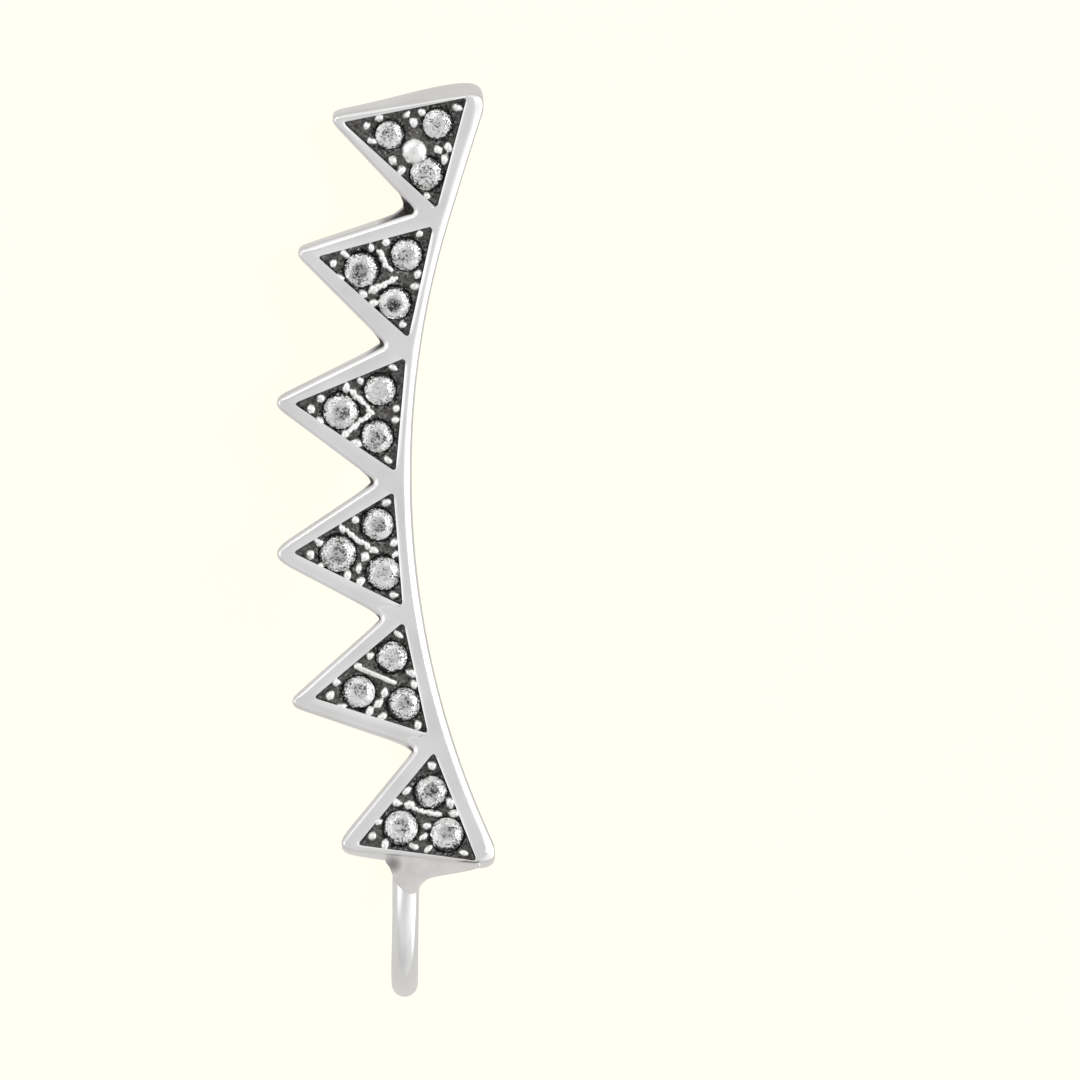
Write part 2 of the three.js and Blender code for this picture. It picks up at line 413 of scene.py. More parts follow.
def plateSolid():
    sheet = joinPieces([cellSheet(i) for i in range(len(cells))], "silver_plate")
    deep = plate["thickness"]
    editAll()
    bpy.ops.mesh.remove_doubles(threshold=plate["seam"])
    bpy.ops.mesh.normals_make_consistent(inside=False)
    bpy.ops.transform.translate(value=(0, 0, -deep))
    level = -deep
    for ring in (*plate["rings"], -plate["chamferDrop"]):
        extrudeBy(ring - level)
        level = ring
    bpy.ops.mesh.inset(thickness=plate["chamfer"])
    bpy.ops.transform.translate(value=(0, 0, plate["chamferDrop"]))
    leaveEdit()
    return sheet


def tarnishAndShadeAt(place):
    for cell in cells:
        corners = pocketCorners(cell)
        middle = sum(corners, Vector((0, 0))) / 3
        wider = [middle + (corner - middle) * tarnishAndShade["wider"] for corner in corners]
        if intersect_point_tri_2d(place.xy, *wider):
            lowest = -plate["pocketDepth"] - tarnishAndShade["margin"]
            highest = -plate["lipDrop"] - plate["closeTo"]
            return tarnishAndShade["pocket"] if lowest < place.z < highest else 0
    # behind each notch the darkness is painted shade, fading away from the notch's corner
    for i, notch in enumerate(notches):
        corner = turned(notchCurve(i)[0], notch["deep"] + notch["web"] / 2, 0)
        corner += (tipOf(i + 1) - corner).normalized() * notch["web"]
        reach = tarnishAndShade["reach"] + tarnishAndShade["reachByWeb"] * notch["web"]
        near = 1 - (place.xy - corner).length / reach
        if near > 0:
            return min(1, tarnishAndShade["steep"] * near,
                       max(0, (-place.z - tarnishAndShade["rim"]) / tarnishAndShade["rimFade"]),
                       max(tarnishAndShade["backLeast"], tarnishAndShade["backFrom"] + place.z))
    return 0


def shapeWalls(piece):
    # the walls stand out behind the notches and along the spine, and the two end walls bulge
    top, bottom = plateEnds()
    ends = [(tipOf(0), top, *plate["topArch"]), (tipOf(-1), bottom, *plate["bottomArch"])]
    middles = [(notch["web"], notchCurve(i)) for i, notch in enumerate(notches)]
    for vertex in piece.data.vertices:
        if vertex.co.z > plate["shapedBelow"]:
            continue
        place = vertex.co.xy
        if place.length < spineRadius(math.degrees(angleOf(place))) + plate["spineSpread"]:
            place -= place.normalized() * plate["spineSpread"]
        for web, (degrees, curve) in middles:
            near = 1 - (place - curve[plate["notchSteps"]]).length / plate["webReach"]
            if near > 0:
                place += turned(degrees, 1, 0) * web * near ** plate["webFade"]
        for tip, corner, arch, power in ends:
            run = corner - tip
            share = (place - tip).dot(run) / run.length_squared
            outwards = Vector((-run.y, run.x)) / run.length * (1 if corner.y > 0 else -1)
            if 0 < share < 1 and abs((place - tip).dot(outwards)) < plate["archNear"]:
                depth = min(1, -vertex.co.z / plate["archFull"])
                place += outwards * arch * depth * math.sin(math.pi * share ** power)
        vertex.co.x, vertex.co.y = place


def shapeChamfer(piece):
    # it is wider along the spine and at its ends, and narrower round the tips and on thin walls
    tips = [tipOf(i) for i in range(len(cells))]
    pockets = [pocketCorners(cell) for cell in cells]
    for line in piece.data.edges:
        low, high = sorted((piece.data.vertices[n].co for n in line.vertices), key=lambda co: co.z)
        if max(abs(low.z + plate["chamferDrop"]), abs(high.z)) > plate["closeTo"]:
            continue
        apart = min(awayFrom(low.xy, corners[n - 1], corners[n])
                    for corners in pockets for n in range(3))
        near = max(0, 1 - min((low.xy - tip).length for tip in tips) / plate["tipReach"])
        width = chamferAt(low.xy, apart) * (1 - min(1, 2 * near) * plate["tipChamfer"])
        high.xy = low.xy + (high.xy - low.xy).normalized() * width


def isLevel(first, second):
    return abs(first.z - second.z) < plate["closeTo"] / 2


def edgesAt(piece, level, least=20, most=math.inf):
    # which edges lie at a level, between faces that turn by least to most degrees
    normals = {}
    for face in piece.data.polygons:
        for key in face.edge_keys:
            normals.setdefault(key, []).append(face.normal.copy())
    found = set()
    for line in piece.data.edges:
        first, second = (piece.data.vertices[n].co for n in line.vertices)
        sides = normals[tuple(sorted(line.vertices))]
        if (isLevel(first, second) and abs((first.z + second.z) / 2 - level) < plate["closeTo"]
                and least < math.degrees(sides[0].angle(sides[1])) <= most):
            found.add(line.index)
    return found


def roundEdges(piece, width, chosen, **settings):
    if "bevel_weight_edge" not in piece.data.attributes:
        piece.data.attributes.new("bevel_weight_edge", "FLOAT", "EDGE")
    marks = piece.data.attributes["bevel_weight_edge"].data
    for n in range(len(marks)):
        marks[n].value = n in chosen
    addModifier(piece, "BEVEL", limit_method="WEIGHT", width=width,
                segments=plate["roundSegments"], **settings)


def dropRims(piece, chosen):
    # the lip slopes down to the rim of each pocket, less where it is narrow
    rim = {n for line in chosen for n in piece.data.edges[line].vertices}
    drops = {}
    for line in piece.data.edges:
        first, second = (piece.data.vertices[n].co for n in line.vertices)
        for n in rim.intersection(line.vertices):
            if isLevel(first, second) and not rim.issuperset(line.vertices):
                drops[n] = plate["lipDrop"] * min(1, (first - second).length / plate["spineLip"])
    for n, drop in drops.items():
        piece.data.vertices[n].co.z -= drop


def makePlate():
    piece = plateSolid()
    front, edge, back = 0, -plate["chamferDrop"], -plate["thickness"]
    shapeChamfer(piece)
    shapeWalls(piece)

    # the pockets go down, and the faces behind them are divided
    bpy.ops.object.mode_set(mode="EDIT")
    selectFaces(piece, lambda face: isPocket(face) and face.center.z > edge)
    extrudeBy(-plate["pocketDepth"])
    selectFaces(piece, lambda face: (isPocket(face) and face.center.z < back / 2
                                     and face.normal.z < 0))
    bpy.ops.mesh.poke()
    leaveEdit()

    roundEdges(piece, plate["backRound"], edgesAt(piece, back))
    steep = 60   # the pockets' walls turn by more than this, the chamfer by less
    roundEdges(piece, plate["sideRound"], edgesAt(piece, edge, least=30), use_clamp_overlap=False)
    roundEdges(piece, plate["frontRound"], edgesAt(piece, front, most=steep),
               use_clamp_overlap=False)
    dropRims(piece, edgesAt(piece, front, least=steep))
    # tarnish in the pockets, and painted shade behind the notches
    markVertices(piece, "tarnishAndShade", tarnishAndShadeAt)
    bowPiece(piece, thinBack=True)
    smooth(piece, angle=40)
    addModifier(piece, "WEIGHTED_NORMAL", keep_sharp=True)
    layPiece(piece)
    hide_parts("climber_frame")
    print("plate done:", len(piece.data.polygons), "faces")
    return piece


# along, across: from the arc's centre, and up from the cell's axis. wide: the stone's diameter.
# grey: how grey the painted reflection in its middle is.
stones = [
    [(32.29, -0.13, 0.92, 0.0), (31.01, 0.67, 0.96, 0.0), (30.83, -0.88, 1.06, 0.0)],
    [(32.06, 0.00, 1.12, 0.9), (30.80, 0.72, 1.02, 0.4), (30.87, -0.80, 1.04, 1.0)],
    [(32.14, 0.00, 1.16, 0.5), (30.99, 0.72, 1.02, 0.1), (30.99, -0.72, 1.04, 0.4)],
    [(32.27, 0.00, 1.18, 0.6), (30.99, 0.80, 1.04, 0.6), (30.92, -0.70, 1.10, 0.1)],
    [(32.23, -0.07, 1.04, 0.3), (31.02, 0.78, 1.00, 0.1), (30.95, -0.71, 1.06, 0.5)],
    [(32.12, -0.07, 1.10, 0.2), (30.88, 0.64, 1.04, 0.8), (30.86, -0.74, 1.08, 0.5)],
]

brilliant = {
    "table": 0.56, "crownAngle": 34, "star": 0.78, "girdle": 0.03,
    "pavilionAngle": 36, "lowerHalf": 0.26, "culet": 0.01,
    "below": 0.03, "trim": 0.02, "turnEach": 17,   # how each is set: below the rims, and turned
}

# the grains of silver that hold the stones; every cell has these, moved a little
grainPlaces = [
    (33.06, 0.00), (32.77, 0.36), (32.78, -0.38), (32.02, 0.72), (31.97, -0.73), (31.60, 0.95),
    (31.60, -0.95), (30.62, 1.42), (30.60, -1.42), (30.46, 0.18), (30.46, -0.19),
]
grainShift = [(0.0, -0.08), (-0.10, 0.02), (0.0, 0.0), (0.05, 0.03), (0.06, 0.0), (-0.04, -0.03)]
extraGrains = [
    [(31.73, 0.48), (30.76, -0.06)],
    [(31.58, -0.51)],
    [],
    [(31.16, 0.03), (31.45, -0.17), (31.66, -0.49)],
    [(31.45, -0.23), (31.70, -0.52)],
    [(31.62, 0.50), (31.34, -0.28), (31.54, -0.57)],
]
grain = {
    "radius": 0.16, "top": 0.02, "segments": 14, "rings": 8, "cutAt": -0.2, "footShare": 0.9,
    "uneven": 0.15, "longest": 1.6, "lengthPower": 0.6, "widthPower": -0.4, "tall": 1.2,
    "turnMost": 3, "lumps": 0.35, "lumpSize": 1.1, "lumpShift": 50,
}

# ridges of silver between the stones, from end to end
ridges = [
    [],
    [(31.65, 0.64, 31.21, 0.16), (31.58, -0.50, 30.98, -0.04)],
    [(31.78, 0.58, 31.19, 0.02), (31.95, -0.66, 31.22, -0.02)],
    [(31.94, 0.67, 31.34, 0.16)],
    [(32.22, 0.76, 31.03, -0.06)],
    [(31.50, 0.30, 30.90, -0.06)],
]
ridge = {
    # in most cells a ridge is a row of lumps
    "lump": 0.10, "lumpEvery": 0.11, "stray": 0.035, "uneven": 0.25, "long": 1.25, "tall": 1.3,
    "turned": 0.4,
    # in this one it is straight and smooth
    "straightIn": 4, "halfWidth": 0.09, "segments": 14, "rings": 10, "footDepth": 4,
}

# the one big round grain of the top cell
bigGrain = {"cell": 0, "along": 31.41, "across": -0.34, "radius": 0.45, "top": -0.08,
            "tall": 0.7, "lumps": 0.4}

bed = {
    "top": 0.3, "bottom": 0.68, "voxel": 0.035,
    "seatGap": 0.05, "seatDepth": 0.5, "seatRise": 0.05, "seatFoot": 0.5, "seatSides": 32,
    "seatShade": 0.13, "girdleFade": 0.05, "girdleShade": 0.6,
    "relief": 0.035, "reliefSize": 0.16, "reliefDeep": 0.2, "fineSize": 0.07, "fineShare": 0.5,
}


def stoneShape():
    # the points of a round brilliant of radius 1, wrapped into facets
    crown = math.tan(math.radians(brilliant["crownAngle"]))
    pavilion = math.tan(math.radians(brilliant["pavilionAngle"]))
    beside = math.cos(math.pi / 8)
    height = (1 - brilliant["table"]) * crown
    starHeight = height - (brilliant["star"] * beside - brilliant["table"]) * crown
    lowHeight = -brilliant["girdle"] - (1 - brilliant["lowerHalf"] * beside) * pavilion
    rings = [
        (brilliant["table"], height, 8, 0), (brilliant["star"], starHeight, 8, 0.5), (1, 0, 16, 0),
        (1, -brilliant["girdle"], 16, 0), (brilliant["lowerHalf"], lowHeight, 8, 0.5),
        (brilliant["culet"], -brilliant["girdle"] - pavilion, 3, 0),
    ]
    circles = []
    for radius, level, count, offset in rings:
        bpy.ops.mesh.primitive_circle_add(
            vertices=count, radius=radius, location=(0, 0, level),
            rotation=(0, 0, 2 * math.pi / count * offset))
        circles.append(newest("ring"))
    shape = joinPieces(circles, "stoneShape")
    bpy.ops.object.transform_apply()
    editAll()
    bpy.ops.mesh.convex_hull(join_triangles=True)
    bpy.ops.mesh.normals_make_consistent(inside=False)
    leaveEdit()
    return shape, height


def placeShape(piece, place, level, scale, turn=0):
    piece.data.transform(
        Matrix.Translation((place.x, place.y, level))
        @ Matrix.Rotation(turn, 4, "Z")
        @ Matrix.Diagonal((*scale, 1)))


def makeStones(i, shape, height):
    gems = []
    for n, (along, across, wide, grey) in enumerate(stones[i]):
        gem = addObject("gem", shape.data.copy())
        markVertices(gem, "onStone", lambda co: (co.x, co.y, i + n / 3), "FLOAT_VECTOR")
        # how grey the painted reflection in the stone's middle is
        markVertices(gem, "greyReflection", lambda co: grey)
        radius = wide / 2 - brilliant["trim"]
        level = -brilliant["below"] - height * radius
        turn = math.radians(brilliant["turnEach"] * (3 * i + n))
        placeShape(gem, inCell(cells[i], along, across), level, [radius] * 3, turn)
        gems.append(gem)
    piece = joinPieces(gems, f"stones_{i + 1}")
    bowPiece(piece)
    layPiece(piece)
    return piece


def grainShape():
    # a dome on a short foot
    bpy.ops.mesh.primitive_uv_sphere_add(
        segments=grain["segments"], ring_count=grain["rings"], radius=1)
    shape = newest("grainShape")
    editAll()
    bpy.ops.mesh.bisect(plane_co=(0, 0, grain["cutAt"]), plane_no=(0, 0, 1), clear_inner=True,
                        use_fill=True)
    selectFaces(shape, lambda face: face.normal.z < -0.9)   # the cut face alone looks down
    extrudeBy(-1)
    bpy.ops.transform.resize(value=(grain["footShare"], grain["footShare"], 1))
    leaveEdit()
    return shape


def lumpy(shape, share=1):
    # a copy with lumps of its own
    piece = addObject("grain", shape.data.copy())
    shift = Vector([random.uniform(0, grain["lumpShift"]) for _ in range(3)])
    for vertex in piece.data.vertices:
        rise = noise.noise(vertex.co * grain["lumpSize"] + shift)
        vertex.co.xy *= 1 + rise * grain["lumps"] * share
    return piece


def looseGrains(i, shape):
    places = [(along + grainShift[i][0], across + grainShift[i][1])
              for along, across in grainPlaces]
    grains = []
    for along, across in places + extraGrains[i]:
        piece = lumpy(shape)
        radius = grain["radius"] * (1 + random.uniform(-1, 1) * grain["uneven"])
        longer = random.uniform(1, grain["longest"])
        size = (radius * longer ** grain["lengthPower"], radius * longer ** grain["widthPower"],
                radius * grain["tall"])
        placeShape(piece, inCell(cells[i], along, across), -grain["top"] - size[2], size,
                   random.uniform(0, grain["turnMost"]))
        grains.append(piece)
    return grains


def lumpyRidge(start, end, shape):
    lumps = []
    count = round((end - start).length / ridge["lumpEvery"])
    run, uneven = end - start, ridge["uneven"]
    for n in range(count + 1):
        place = start.lerp(end, n / count)
        place += Vector((random.uniform(-1, 1), random.uniform(-1, 1))) * ridge["stray"]
        piece = lumpy(shape)
        radius = ridge["lump"] * random.uniform(1 - uneven, 1 + uneven)
        height = radius * ridge["tall"]
        placeShape(piece, place, -grain["top"] - height, (radius * ridge["long"], radius, height),
                   math.atan2(run.y, run.x) + random.uniform(-1, 1) * ridge["turned"])
        lumps.append(piece)
    return lumps


def straightRidge(start, end):
    # a ball pulled out lengthwise, and down into the bed
    bpy.ops.mesh.primitive_uv_sphere_add(
        segments=ridge["segments"], ring_count=ridge["rings"], radius=ridge["halfWidth"],
        rotation=(0, math.pi / 2, 0))
    piece = newest("ridge")
    bpy.ops.object.transform_apply()
    run = end - start
    half = run.length / 2 - ridge["halfWidth"]
    for vertex in piece.data.vertices:
        vertex.co.x += half if vertex.co.x > 1e-5 else -half
        if vertex.co.z < 0:
            vertex.co.z *= ridge["footDepth"]
    placeShape(piece, (start + end) / 2, -ridge["halfWidth"], (1, 1, 1), math.atan2(run.y, run.x))
    return piece


def makeGrains(i, shape):
    grains = looseGrains(i, shape)
    for startAlong, startAcross, endAlong, endAcross in ridges[i]:
        start = inCell(cells[i], startAlong, startAcross)
        end = inCell(cells[i], endAlong, endAcross)
        if i == ridge["straightIn"]:
            grains.append(straightRidge(start, end))
        else:
            grains += lumpyRidge(start, end, shape)
    if i == bigGrain["cell"]:
        piece = lumpy(shape, bigGrain["lumps"])
        addModifier(piece, "SUBSURF", levels=1, render_levels=1)
        radius, height = bigGrain["radius"], bigGrain["radius"] * bigGrain["tall"]
        place = inCell(cells[i], bigGrain["along"], bigGrain["across"])
        placeShape(piece, place, -height - bigGrain["top"], (radius, radius, height))
        grains.append(piece)
    piece = joinPieces(grains, f"grains_{i + 1}")
    bowPiece(piece)
    smooth(piece, angle=60)
    layPiece(piece)
    return piece


def makeBed(i):
    # the darkened floor of a cell, with a seat cut for each stone
    piece = flatSheet(f"cell_bed_{i + 1}", cellOutline(i)[1], -bed["bottom"])
    thicken(bed["bottom"] - bed["top"])
    girdles = [(inCell(cells[i], along, across), wide / 2) for along, across, wide, _ in stones[i]]
    for place, radius in girdles:
        radius += bed["seatGap"]
        level = -bed["top"] + bed["seatRise"] - bed["seatDepth"] / 2
        bpy.ops.mesh.primitive_cone_add(
            vertices=bed["seatSides"], radius1=radius * bed["seatFoot"], radius2=radius,
            depth=bed["seatDepth"], location=(place.x, place.y, level))
        seat = newest("seat")
        addModifier(piece, "BOOLEAN", operation="DIFFERENCE", object=seat, solver="EXACT")
        bpy.data.objects.remove(seat)
    addModifier(piece, "REMESH", mode="VOXEL", voxel_size=bed["voxel"], use_smooth_shade=True)
    for vertex in piece.data.vertices:
        if vertex.co.z > -bed["top"] - bed["reliefDeep"]:
            rise = (noise.noise(vertex.co / bed["reliefSize"])
                    + bed["fineShare"] * noise.noise(vertex.co / bed["fineSize"]))
            vertex.co.z += rise * bed["relief"]

    def apart(co):
        # how far a place is from the nearest girdle
        return min((co.xy - place).length - radius for place, radius in girdles)

    # painted shade in a ring round each seat, fading out over seatShade
    markVertices(piece, "nearSeatShade",
                 lambda co: clamped(1 - (apart(co) - bed["seatGap"]) / bed["seatShade"]))
    markVertices(piece, "underStone",
                 lambda co: clamped(-apart(co) / bed["girdleFade"] - bed["girdleShade"]))
    bowPiece(piece)
    layPiece(piece)
    return piece


wire = {
    "radius": 0.405, "x": -30.15, "lean": 0.07, "top": -11.1, "behindFace": 0.92,
    "bendHeight": -12.46, "bendRadius": 3.25, "closing": 17, "bendSteps": 64,
    "passes": (-29.33, -8.4), "end": (-31.2, -5.9), "rise": 1.76, "pinSteps": 16,
    "relaxed": 5, "relaxing": 18,   # steps evened out either side of the bend's end; how often
    "straightSteps": 4, "tip": 0.35, "tipLeast": 0.02, "tipStep": 15, "bevel": 10,
}

gusset = {
    # from its top left, round its tip, to where it runs out along the bottom wall
    "outline": [
        (-30.74, -11.60), (-30.71, -11.88), (-30.60, -12.03), (-30.52, -12.22), (-30.45, -12.42),
        (-30.30, -12.64), (-30.10, -12.81), (-29.91, -12.87), (-29.76, -12.83), (-29.67, -12.73),
        (-29.62, -12.61), (-29.54, -12.51), (-29.42, -12.42), (-29.22, -12.35), (-28.85, -12.28),
        (-28.45, -12.21), (-28.02, -12.12), (-27.80, -12.00), (-27.86, -11.87),
    ],
    "steps": 4, "front": 0.06, "slope": 0.23, "slopeFrom": -12.4, "depth": 1.0,
    # the last two: where the painted shadow below the bottom wall is darkest, and how far it
    # reaches
    "round": 0.11, "roundSegments": 5, "shadowAt": (-30.5, -11.93), "shadowReach": 0.36,
}


def wireRoute():
    # down from the plate, round the bend, and up again as the pin
    rise = wire["top"] - climber["bowLevel"]
    front = rise ** 2 / (2 * climber["bowRadius"]) - wire["behindFace"]
    turn = math.pi + math.radians(wire["closing"])
    radius, top, height = wire["bendRadius"], wire["top"], wire["bendHeight"]
    steps = wire["straightSteps"]
    route = [Vector((wire["x"] + wire["lean"], top + (height - top) * step / steps, front))
             for step in range(steps)]
    for step in range(wire["bendSteps"] + 1):
        angle = turn * step / wire["bendSteps"]
        lean = wire["lean"] * max(0, 1 - angle)
        route.append(Vector((wire["x"] + lean, height - radius * math.sin(angle),
                             front - radius * (1 - math.cos(angle)))))
    start = route[-1]
    passes, end = Vector(wire["passes"]), Vector(wire["end"])
    middle = passes * 2 - (start.xy + end) / 2
    for step in range(1, wire["pinSteps"] + 1):
        share = step / wire["pinSteps"]
        place = onCurve(start.xy, middle, end, share)
        height = start.z + wire["rise"] * (place.y - start.y) / (end.y - start.y)
        route.append(Vector((place.x, place.y, height)))
    joint = len(route) - 1 - wire["pinSteps"]
    for _ in range(wire["relaxing"]):
        for n in range(joint - wire["relaxed"], joint + wire["relaxed"] + 1):
            route[n] = (route[n - 1] + route[n] * 2 + route[n + 1]) / 4
    return route


def makeWire():
    # each place comes with its share of the full radius; the pin's end is round
    route = wireRoute()
    lastRun = (route[-1] - route[-2]).normalized()
    places = [(place, 1) for place in route[:-1]]
    for degrees in range(0, 91, wire["tipStep"]):
        angle = math.radians(degrees)
        places.append((route[-1] - lastRun * wire["tip"] * (1 - math.sin(angle)),
                       max(math.cos(angle), wire["tipLeast"])))
    curve = bpy.data.curves.new("ear_wire", "CURVE")
    curve.dimensions = "3D"
    curve.bevel_depth = wire["radius"]
    curve.bevel_resolution = wire["bevel"]
    curve.use_fill_caps = True
    spline = curve.splines.new("POLY")
    spline.points.add(len(places) - 1)
    for point, (place, size) in zip(spline.points, places):
        point.co = (*place, 1)
        point.radius = size
    makeActive(addObject("ear_wire", curve))
    bpy.ops.object.convert(target="MESH")
    piece = newest("ear_wire")
    smooth(piece, angle=50)
    layPiece(piece)
    return piece


def makeGusset():
    # the tongue of silver that joins the wire to the bottom wall; its corners lie on a smooth curve
    corners = [Vector(corner) for corner in gusset["outline"]]
    outline = [corners[0]]
    for n in range(len(corners) - 1):
        before, start, end, after = (corners[max(0, n - 1)], corners[n], corners[n + 1],
                                     corners[min(len(corners) - 1, n + 2)])
        for step in range(1, gusset["steps"] + 1):
            share = step / gusset["steps"]
            outline.append((start * 2 + (end - before) * share
                            + (before * 2 - start * 5 + end * 4 - after) * share ** 2
                            + (start * 3 - before - end * 3 + after) * share ** 3) / 2)
    piece = flatSheet("wire_gusset", outline, gusset["front"] - gusset["depth"])
    thicken(gusset["depth"])
    addModifier(piece, "BEVEL", limit_method="ANGLE", angle_limit=math.radians(60),
                width=gusset["round"], segments=gusset["roundSegments"])
    for vertex in piece.data.vertices:
        if vertex.co.z > gusset["front"] - gusset["depth"] / 2:
            vertex.co.z += (vertex.co.y - gusset["slopeFrom"]) * gusset["slope"]
    smooth(piece, angle=60)
    layPiece(piece)
    return piece


def setInputs(tree, node, values):
    # a node's output is linked to its socket; anything else is set on the socket itself
    for name, value in values.items():
        if isinstance(value, bpy.types.NodeSocket):
            tree.links.new(value, node.inputs[name])
        else:
            node.inputs[name].default_value = value


def addNode(tree, kind, output, values, **settings):
    node = tree.nodes.new("ShaderNode" + kind)
    for name, setting in settings.items():
        setattr(node, name, setting)
    setInputs(tree, node, values)
    return node.outputs[output]


def newFinish(name):
    finish = bpy.data.materials.new(name)
    finish.use_nodes = True
    tree = finish.node_tree
    place = addNode(tree, "TexCoord", "Object", {})
    # one unit of a pattern is a millimetre
    place = addNode(tree, "Mapping", "Vector", {"Vector": place, "Scale": (1000, 1000, 1000)})
    return finish, tree, tree.nodes["Principled BSDF"], place


def noiseNode(tree, place, scale, detail=3, roughness=0.5):
    return addNode(tree, "TexNoise", "Fac", {
        "Vector": place, "Scale": scale, "Detail": detail, "Roughness": roughness})


def rampNode(tree, source, stops):
    # each stop: where it is, and its colour or grey
    node = tree.nodes.new("ShaderNodeValToRGB")
    elements = node.color_ramp.elements
    while len(elements) < len(stops):
        elements.new(0.5)
    for element, (position, colour) in zip(elements, stops):
        element.position = position
        element.color = (*colour, 1) if isinstance(colour, tuple) else (colour, colour, colour, 1)
    tree.links.new(source, node.inputs["Fac"])
    return node.outputs["Color"]


def bumpNode(tree, source, strength, distance):
    return addNode(tree, "Bump", "Normal", {
        "Height": source, "Strength": strength, "Distance": distance})


def mathNode(tree, operation, *values):
    return addNode(tree, "Math", "Value", dict(enumerate(values)), operation=operation)


def vectorNode(tree, operation, *values, output="Value"):
    return addNode(tree, "VectorMath", output, dict(enumerate(values)), operation=operation)


def mixNode(tree, share, first, second, kind="MIX"):
    return addNode(tree, "Mix", "Result", {"Factor": share, "A": first, "B": second},
                   data_type="RGBA", blend_type=kind)


def attributeNode(tree, name, output="Fac"):
    return addNode(tree, "Attribute", output, {}, attribute_name=name)


def polishedSilver():
    # bright silver with faint clouds and polishing marks; dark with tarnish in the pockets and with
    # painted shade behind the notches
    finish, tree, shader, place = newFinish("polishedSilver")
    darkShare = attributeNode(tree, "tarnishAndShade")
    tone = rampNode(tree, noiseNode(tree, place, 0.7, 2), [
        (0.35, (0.86, 0.85, 0.845)), (0.65, (0.93, 0.925, 0.93))])
    dark = rampNode(tree, noiseNode(tree, place, 9, 4), [
        (0.3, (0.015, 0.014, 0.013)), (0.8, (0.08, 0.077, 0.074))])
    marks = noiseNode(tree, place, 14, 4)
    polish = rampNode(tree, marks, [(0.3, 0.14), (0.7, 0.22)])
    dull = rampNode(tree, marks, [(0.3, 0.4), (0.7, 0.6)])
    setInputs(tree, shader, {
        "Base Color": mixNode(tree, darkShare, tone, dark), "Metallic": 1,
        "Roughness": mixNode(tree, darkShare, polish, dull),
        "Normal": bumpNode(tree, marks, 0.05, 0.00002)})
    return finish


def wireSilver():
    # brighter and smoother than the plate
    finish, tree, shader, place = newFinish("wireSilver")
    marks = noiseNode(tree, place, 10, 3)
    setInputs(tree, shader, {
        "Base Color": rampNode(tree, noiseNode(tree, place, 0.5, 2), [
            (0.35, (0.88, 0.875, 0.87)), (0.65, 0.93)]),
        "Metallic": 1, "Roughness": rampNode(tree, marks, [(0.3, 0.1), (0.7, 0.17)]),
        "Normal": bumpNode(tree, marks, 0.04, 0.00002)})
    return finish


def solderSilver():
    # warmer and duller; with a painted shadow in the corner where the wire goes behind the plate
    finish, tree, shader, place = newFinish("solderSilver")
    clouds = noiseNode(tree, place, 1.6, 3)
    tone = rampNode(tree, clouds, [(0.3, (0.74, 0.72, 0.70)), (0.7, (0.87, 0.85, 0.83))])
    dark = rampNode(tree, clouds, [(0.3, (0.02, 0.019, 0.018)), (0.8, (0.06, 0.058, 0.055))])
    # the painted shadow is darkest at this corner and fades out over its reach
    corner = layOnBack @ Vector((*gusset["shadowAt"], gusset["front"])) * 1000
    reach = gusset["shadowReach"]
    darkShare = rampNode(tree, vectorNode(tree, "DISTANCE", place, corner), [
        (0.0, 0.85), (reach * 0.4, 0.6), (reach, 0)])
    marks = noiseNode(tree, place, 12, 4)
    setInputs(tree, shader, {
        "Base Color": mixNode(tree, darkShare, tone, dark), "Metallic": 1,
        "Roughness": rampNode(tree, marks, [(0.3, 0.26), (0.7, 0.36)]),
        "Normal": bumpNode(tree, marks, 0.08, 0.00003)})
    return finish


def grainSilver():
    # bright on the whole, with a few darker spots
    finish, tree, shader, place = newFinish("grainSilver")
    spots = noiseNode(tree, place, 7, 3)
    setInputs(tree, shader, {
        "Base Color": rampNode(tree, spots, [
            (0.30, (0.55, 0.54, 0.53)), (0.45, (0.95, 0.95, 0.94))]),
        "Metallic": 1, "Roughness": rampNode(tree, spots, [(0.3, 0.42), (0.6, 0.28)]),
        "Normal": bumpNode(tree, noiseNode(tree, place, 16, 3), 0.3, 0.00003)})
    return finish


def darkenedSilver():
    # the pitted floor: near black in the pits, grey on the high spots, with a few bright flecks,
    # more unlike beside the stones, where the darker pits are painted shade in the gaps round the
    # seats, and left bright under them
    finish, tree, shader, place = newFinish("darkenedSilver")
    pits = noiseNode(tree, place, 11, 5, 0.7)
    away = rampNode(tree, pits, [(0.34, (0.025, 0.024, 0.023)), (0.46, (0.14, 0.136, 0.13)),
                                 (0.64, (0.22, 0.215, 0.21)), (0.72, (0.65, 0.64, 0.63))])
    nearSeatShade = rampNode(tree, pits, [(0.40, 0.006), (0.50, (0.09, 0.088, 0.085)),
                                   (0.60, (0.34, 0.33, 0.32)), (0.68, (0.75, 0.74, 0.73))])
    bright = rampNode(tree, pits, [(0.3, (0.85, 0.84, 0.83)), (0.7, (0.95, 0.94, 0.93))])
    tone = mixNode(tree, attributeNode(tree, "nearSeatShade"), away, nearSeatShade)
    tone = mixNode(tree, attributeNode(tree, "underStone"), tone, bright)
    setInputs(tree, shader, {
        "Base Color": tone, "Metallic": 0.85,
        "Roughness": rampNode(tree, pits, [(0.4, 0.6), (0.7, 0.3)]),
        "Normal": bumpNode(tree, pits, 0.9, 0.00006)})
    return finish


